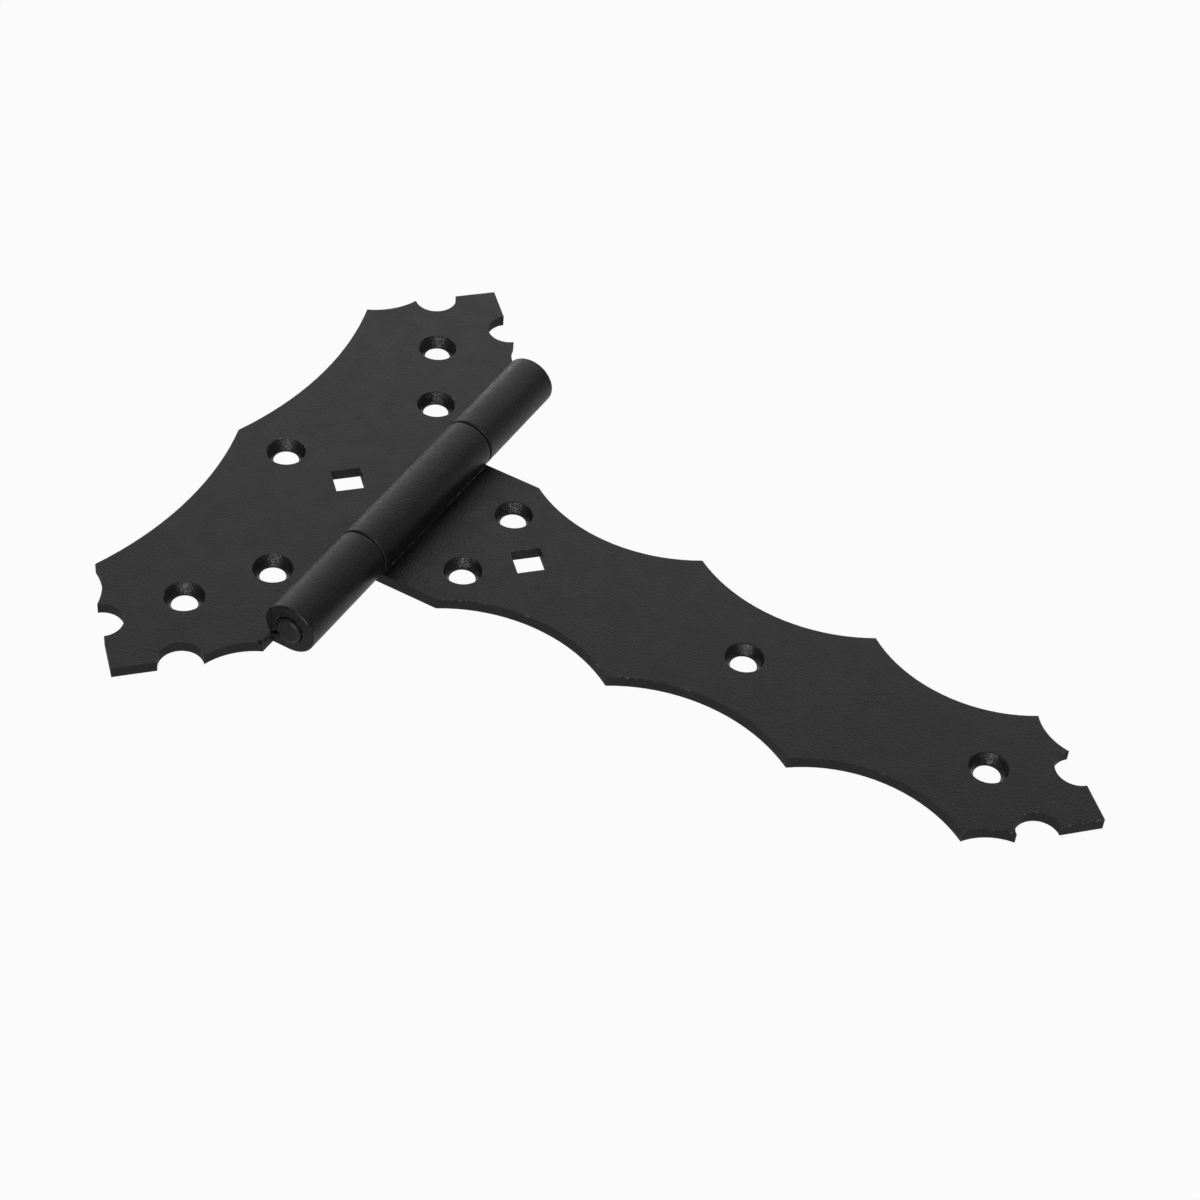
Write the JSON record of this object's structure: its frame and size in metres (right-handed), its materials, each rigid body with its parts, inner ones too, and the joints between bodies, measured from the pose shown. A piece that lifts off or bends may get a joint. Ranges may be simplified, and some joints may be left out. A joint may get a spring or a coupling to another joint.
{
  "type": "tee hinge",
  "caption": "Ornamental tee hinge: scalloped cross leaf and long scalloped strap with pointed crests, joined by a rolled barrel and pin.",
  "frame": {"origin": "under the pin, half way along it, in the plane of both leaves' flat backs", "axes": "+X along the strap to its tip, +Y along the pin, +Z out of the countersunk faces"},
  "size_m": [0.2573, 0.185, 0.0145],
  "materials": {
    "black_paint": "satin black powder coat"
  },
  "bodies": {
    "jamb": {"jamb_leaf": "black_paint", "hinge_pin": "black_paint"},
    "strap": {"strap_leaf": "black_paint"}
  },
  "joints": [
    {"name": "hinge_turn", "type": "hinge", "parent": "jamb", "child": "strap", "pos_m": [0, 0, 0.00728], "axis": [0, -1, 0], "range_deg": [-90, 180]}
  ]
}
